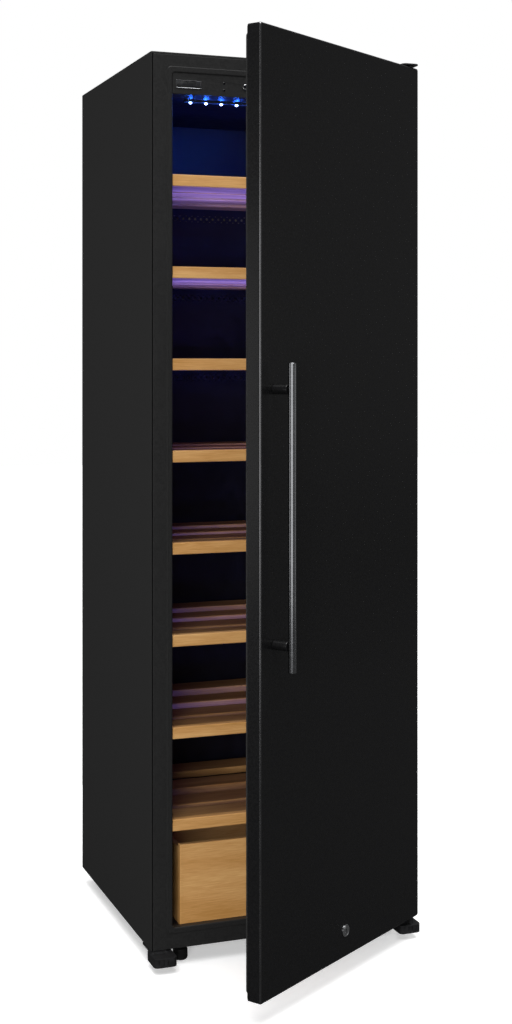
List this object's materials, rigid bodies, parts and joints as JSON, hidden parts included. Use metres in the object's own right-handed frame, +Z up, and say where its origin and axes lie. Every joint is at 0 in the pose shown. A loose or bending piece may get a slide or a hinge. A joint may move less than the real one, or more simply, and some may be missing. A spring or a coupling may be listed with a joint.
{
  "type": "wine cooler",
  "caption": "Tall free-standing wine cooler with a solid hinged door, bar handle, lock, lit interior, slatted wooden shelves and a crate on the floor.",
  "frame": {"origin": "centre of the footprint on the floor, with the door standing 34 degrees open", "axes": "+Z up, the cabinet's front faces -Y, the door is hinged at +X"},
  "size_m": [0.5892, 0.941, 1.8573],
  "materials": {
    "cabinet_paint": "matte black powder coat",
    "black_trim": "satin black, fine texture",
    "liner_plastic": "smooth satin black",
    "foam": "cream closed-cell foam",
    "fascia_wood": "oiled light hardwood, fine straight grain",
    "slat_wood": "sawn hardwood slats",
    "door_paint": "semi-gloss black enamel",
    "handle_steel": "polished and brushed stainless steel",
    "bracket_zinc": "black zinc plate, slightly shiny",
    "inner_metal": "mill finish",
    "seal_rubber": "matte grey-black magnetic seal",
    "black_plastic": "moulded black",
    "display_glass": "smoked gloss window",
    "light_lens": "blue light strip",
    "compressor_paint": "gloss black enamel"
  },
  "bodies": {
    "cabinet": {"left_side_panel": "cabinet_paint", "right_side_panel": "cabinet_paint", "top_panel": "cabinet_paint", "back_panel": "cabinet_paint", "front_frame": "black_trim", "control_housing": "black_trim", "liner_left_wall": "liner_plastic", "liner_right_wall": "liner_plastic", "liner_ceiling": "liner_plastic", "liner_floor": "liner_plastic", "air_duct_cover": "liner_plastic", "insulation_foam": "foam", "shelf_1_deck": "slat_wood", "shelf_1_fascia": "fascia_wood", "shelf_2_deck": "slat_wood", "shelf_2_fascia": "fascia_wood", "shelf_3_deck": "slat_wood", "shelf_3_fascia": "fascia_wood", "shelf_4_deck": "slat_wood", "shelf_4_fascia": "fascia_wood", "shelf_5_deck": "slat_wood", "shelf_5_fascia": "fascia_wood", "shelf_6_deck": "slat_wood", "shelf_6_fascia": "fascia_wood", "shelf_7_deck": "slat_wood", "shelf_7_fascia": "fascia_wood", "shelf_8_deck": "slat_wood", "shelf_8_fascia": "fascia_wood", "crate_front": "fascia_wood", "crate_box": "slat_wood", "badge_plate": "handle_steel", "lower_hinge": "bracket_zinc", "spare_hinge_bracket": "bracket_zinc", "upper_hinge": "bracket_zinc", "lock_keeper": "bracket_zinc", "base_plate": "bracket_zinc", "evaporator": "inner_metal", "condenser": "inner_metal", "fan_motor": "inner_metal", "compressor": "compressor_paint", "rear_grille": "black_plastic", "power_inlet": "black_plastic", "rear_rail": "black_plastic", "display_window": "display_glass", "led_strip": "light_lens"},
    "door": {"door_skin": "door_paint", "door_foam": "foam", "door_liner": "black_trim", "door_gasket": "seal_rubber", "handle_bar": "handle_steel", "handle_upper_post": "door_paint", "handle_lower_post": "door_paint"},
    "lock": {"lock_plug": "handle_steel", "lock_cam": "bracket_zinc"},
    "power_key": {"power_button": "handle_steel"},
    "down_key": {"down_button": "handle_steel"},
    "up_key": {"up_button": "handle_steel"},
    "fan": {"fan_rotor": "black_plastic"},
    "left_foot": {"front_left_foot": "black_plastic"},
    "right_foot": {"front_right_foot": "black_plastic"}
  },
  "joints": [
    {"name": "door_swing", "type": "hinge", "parent": "cabinet", "child": "door", "pos_m": [0.2766, -0.1285, 0.934], "axis": [0, 0, 1], "range_deg": [-34, 81]},
    {"name": "lock_turn", "type": "hinge", "parent": "door", "child": "lock", "pos_m": [0.05333, -0.29213, 0.0992], "axis": [-0.5592, 0.829, 0], "range_deg": [0, 90]},
    {"name": "power_press", "type": "slide", "parent": "cabinet", "child": "power_key", "axis": [0, 1, 0], "range_m": [0, 0.0012], "stiffness_N_per_m": 400},
    {"name": "down_press", "type": "slide", "parent": "cabinet", "child": "down_key", "axis": [0, 1, 0], "range_m": [0, 0.0012], "stiffness_N_per_m": 400},
    {"name": "up_press", "type": "slide", "parent": "cabinet", "child": "up_key", "axis": [0, 1, 0], "range_m": [0, 0.0012], "stiffness_N_per_m": 400},
    {"name": "fan_spin", "type": "hinge", "parent": "cabinet", "child": "fan", "pos_m": [0, 0.4045, 1.689], "axis": [0, 1, 0], "continuous": true},
    {"name": "left_foot_screw", "type": "slide", "parent": "cabinet", "child": "left_foot", "axis": [0, 0, -1], "range_m": [0, 0.012]},
    {"name": "right_foot_screw", "type": "slide", "parent": "cabinet", "child": "right_foot", "axis": [0, 0, -1], "range_m": [0, 0.012]}
  ]
}
